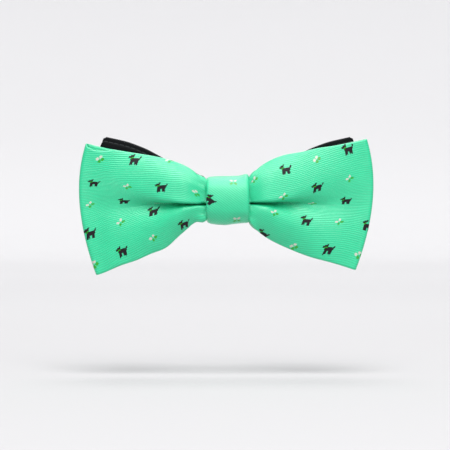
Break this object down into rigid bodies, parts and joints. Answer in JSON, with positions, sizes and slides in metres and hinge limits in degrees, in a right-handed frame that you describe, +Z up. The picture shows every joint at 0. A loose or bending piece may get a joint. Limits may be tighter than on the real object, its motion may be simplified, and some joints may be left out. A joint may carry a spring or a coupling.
{
  "type": "pre-tied bow tie",
  "caption": "Pre-tied bow tie of figured mint jacquard: padded looped wings gathered into a wrapped knot, on a folding black satin neckband with slide, hook and eye.",
  "frame": {"origin": "middle of the knot's flat rear face, the face that rests on the collar button", "axes": "+X to the right as the worn tie is seen from the front, +Y back towards the wearer's collar, +Z up"},
  "size_m": [0.1199, 0.0201, 0.0567],
  "materials": {
    "mint_jacquard": "satin",
    "black_satin": "satin",
    "interlining": "matte",
    "green_thread": "satin",
    "black_thread": "satin",
    "plated_metal": "gloss"
  },
  "bodies": {
    "bow": {"bow_strip": "mint_jacquard", "bow_interlining": "interlining", "waist_thread": "green_thread", "knot_band": "mint_jacquard", "knot_interlining": "interlining", "knot_stitches": "green_thread", "band_front_run": "black_satin", "left_fold_1": "black_satin", "right_fold_1": "black_satin"},
    "left_layer_2": {"left_run_2": "black_satin", "left_fold_2": "black_satin"},
    "left_layer_3": {"left_run_3": "black_satin", "left_fold_3": "black_satin"},
    "left_end": {"left_run_4": "black_satin", "left_bar_tack": "black_thread"},
    "eye": {"eye": "plated_metal"},
    "right_layer_2": {"right_run_2": "black_satin", "right_fold_2": "black_satin"},
    "right_layer_3": {"right_run_3": "black_satin", "right_fold_3": "black_satin"},
    "right_end": {"right_run_4": "black_satin"},
    "slide": {"slide_adjuster": "plated_metal", "slide_bar_tack": "black_thread"},
    "hook_turn": {"tail_loop": "black_satin"},
    "hook": {"hook": "plated_metal"}
  },
  "joints": [
    {"name": "left_fold_1_hinge", "type": "hinge", "parent": "bow", "child": "left_layer_2", "pos_m": [-0.05267, -0.0018, 0.01813], "axis": [0.3827, 0, 0.9239], "range_deg": [0, 170], "deforming": ["left_fold_1"]},
    {"name": "left_fold_2_hinge", "type": "hinge", "parent": "left_layer_2", "child": "left_layer_3", "pos_m": [-0.01743, -0.0006, 0.00095], "axis": [0.4384, 0, 0.8988], "range_deg": [-170, 0], "deforming": ["left_fold_2"]},
    {"name": "left_fold_3_hinge", "type": "hinge", "parent": "left_layer_3", "child": "left_end", "pos_m": [-0.04979, 0.0006, 0.01673], "axis": [0.4384, 0, 0.8988], "range_deg": [0, 170], "deforming": ["left_fold_3"]},
    {"name": "right_fold_1_hinge", "type": "hinge", "parent": "bow", "child": "right_layer_2", "pos_m": [0.0527, -0.0018, 0.01804], "axis": [0.3576, 0, -0.9339], "range_deg": [0, 170], "deforming": ["right_fold_1"]},
    {"name": "right_fold_2_hinge", "type": "hinge", "parent": "right_layer_2", "child": "right_layer_3", "pos_m": [0.01661, -0.0006, 0.00273], "axis": [0.3907, 0, -0.9205], "range_deg": [-170, 0], "deforming": ["right_fold_2"]},
    {"name": "right_fold_3_hinge", "type": "hinge", "parent": "right_layer_3", "child": "right_end", "pos_m": [0.04975, 0.00105, 0.01679], "axis": [0.3907, 0, -0.9205], "range_deg": [0, 170], "deforming": ["right_fold_3"]},
    {"name": "eye_swivel", "type": "hinge", "parent": "left_end", "child": "eye", "pos_m": [-0.02238, 0.0021, 0.00336], "axis": [0.4384, 0, 0.8988], "range_deg": [-5, 90]},
    {"name": "slide_travel", "type": "slide", "parent": "right_end", "child": "slide", "axis": [0.9205, 0, 0.3907], "range_m": [0, 0.01]},
    {"name": "hook_travel", "type": "slide", "parent": "slide", "child": "hook_turn", "axis": [0.9205, 0, 0.3907], "range_m": [-0.005, 0], "deforming": ["tail_loop"]},
    {"name": "hook_swivel", "type": "hinge", "parent": "hook_turn", "child": "hook", "pos_m": [0.02168, 0.003, 0.00487], "axis": [0.3907, 0, -0.9205], "range_deg": [-8, 90]}
  ],
  "couplings": [
    {"joint": "left_fold_2_hinge", "follows": "left_fold_1_hinge", "ratio": -1},
    {"joint": "left_fold_3_hinge", "follows": "left_fold_1_hinge", "ratio": 1},
    {"joint": "right_fold_2_hinge", "follows": "right_fold_1_hinge", "ratio": -1},
    {"joint": "right_fold_3_hinge", "follows": "right_fold_1_hinge", "ratio": 1},
    {"joint": "hook_travel", "follows": "slide_travel", "ratio": -0.5}
  ]
}
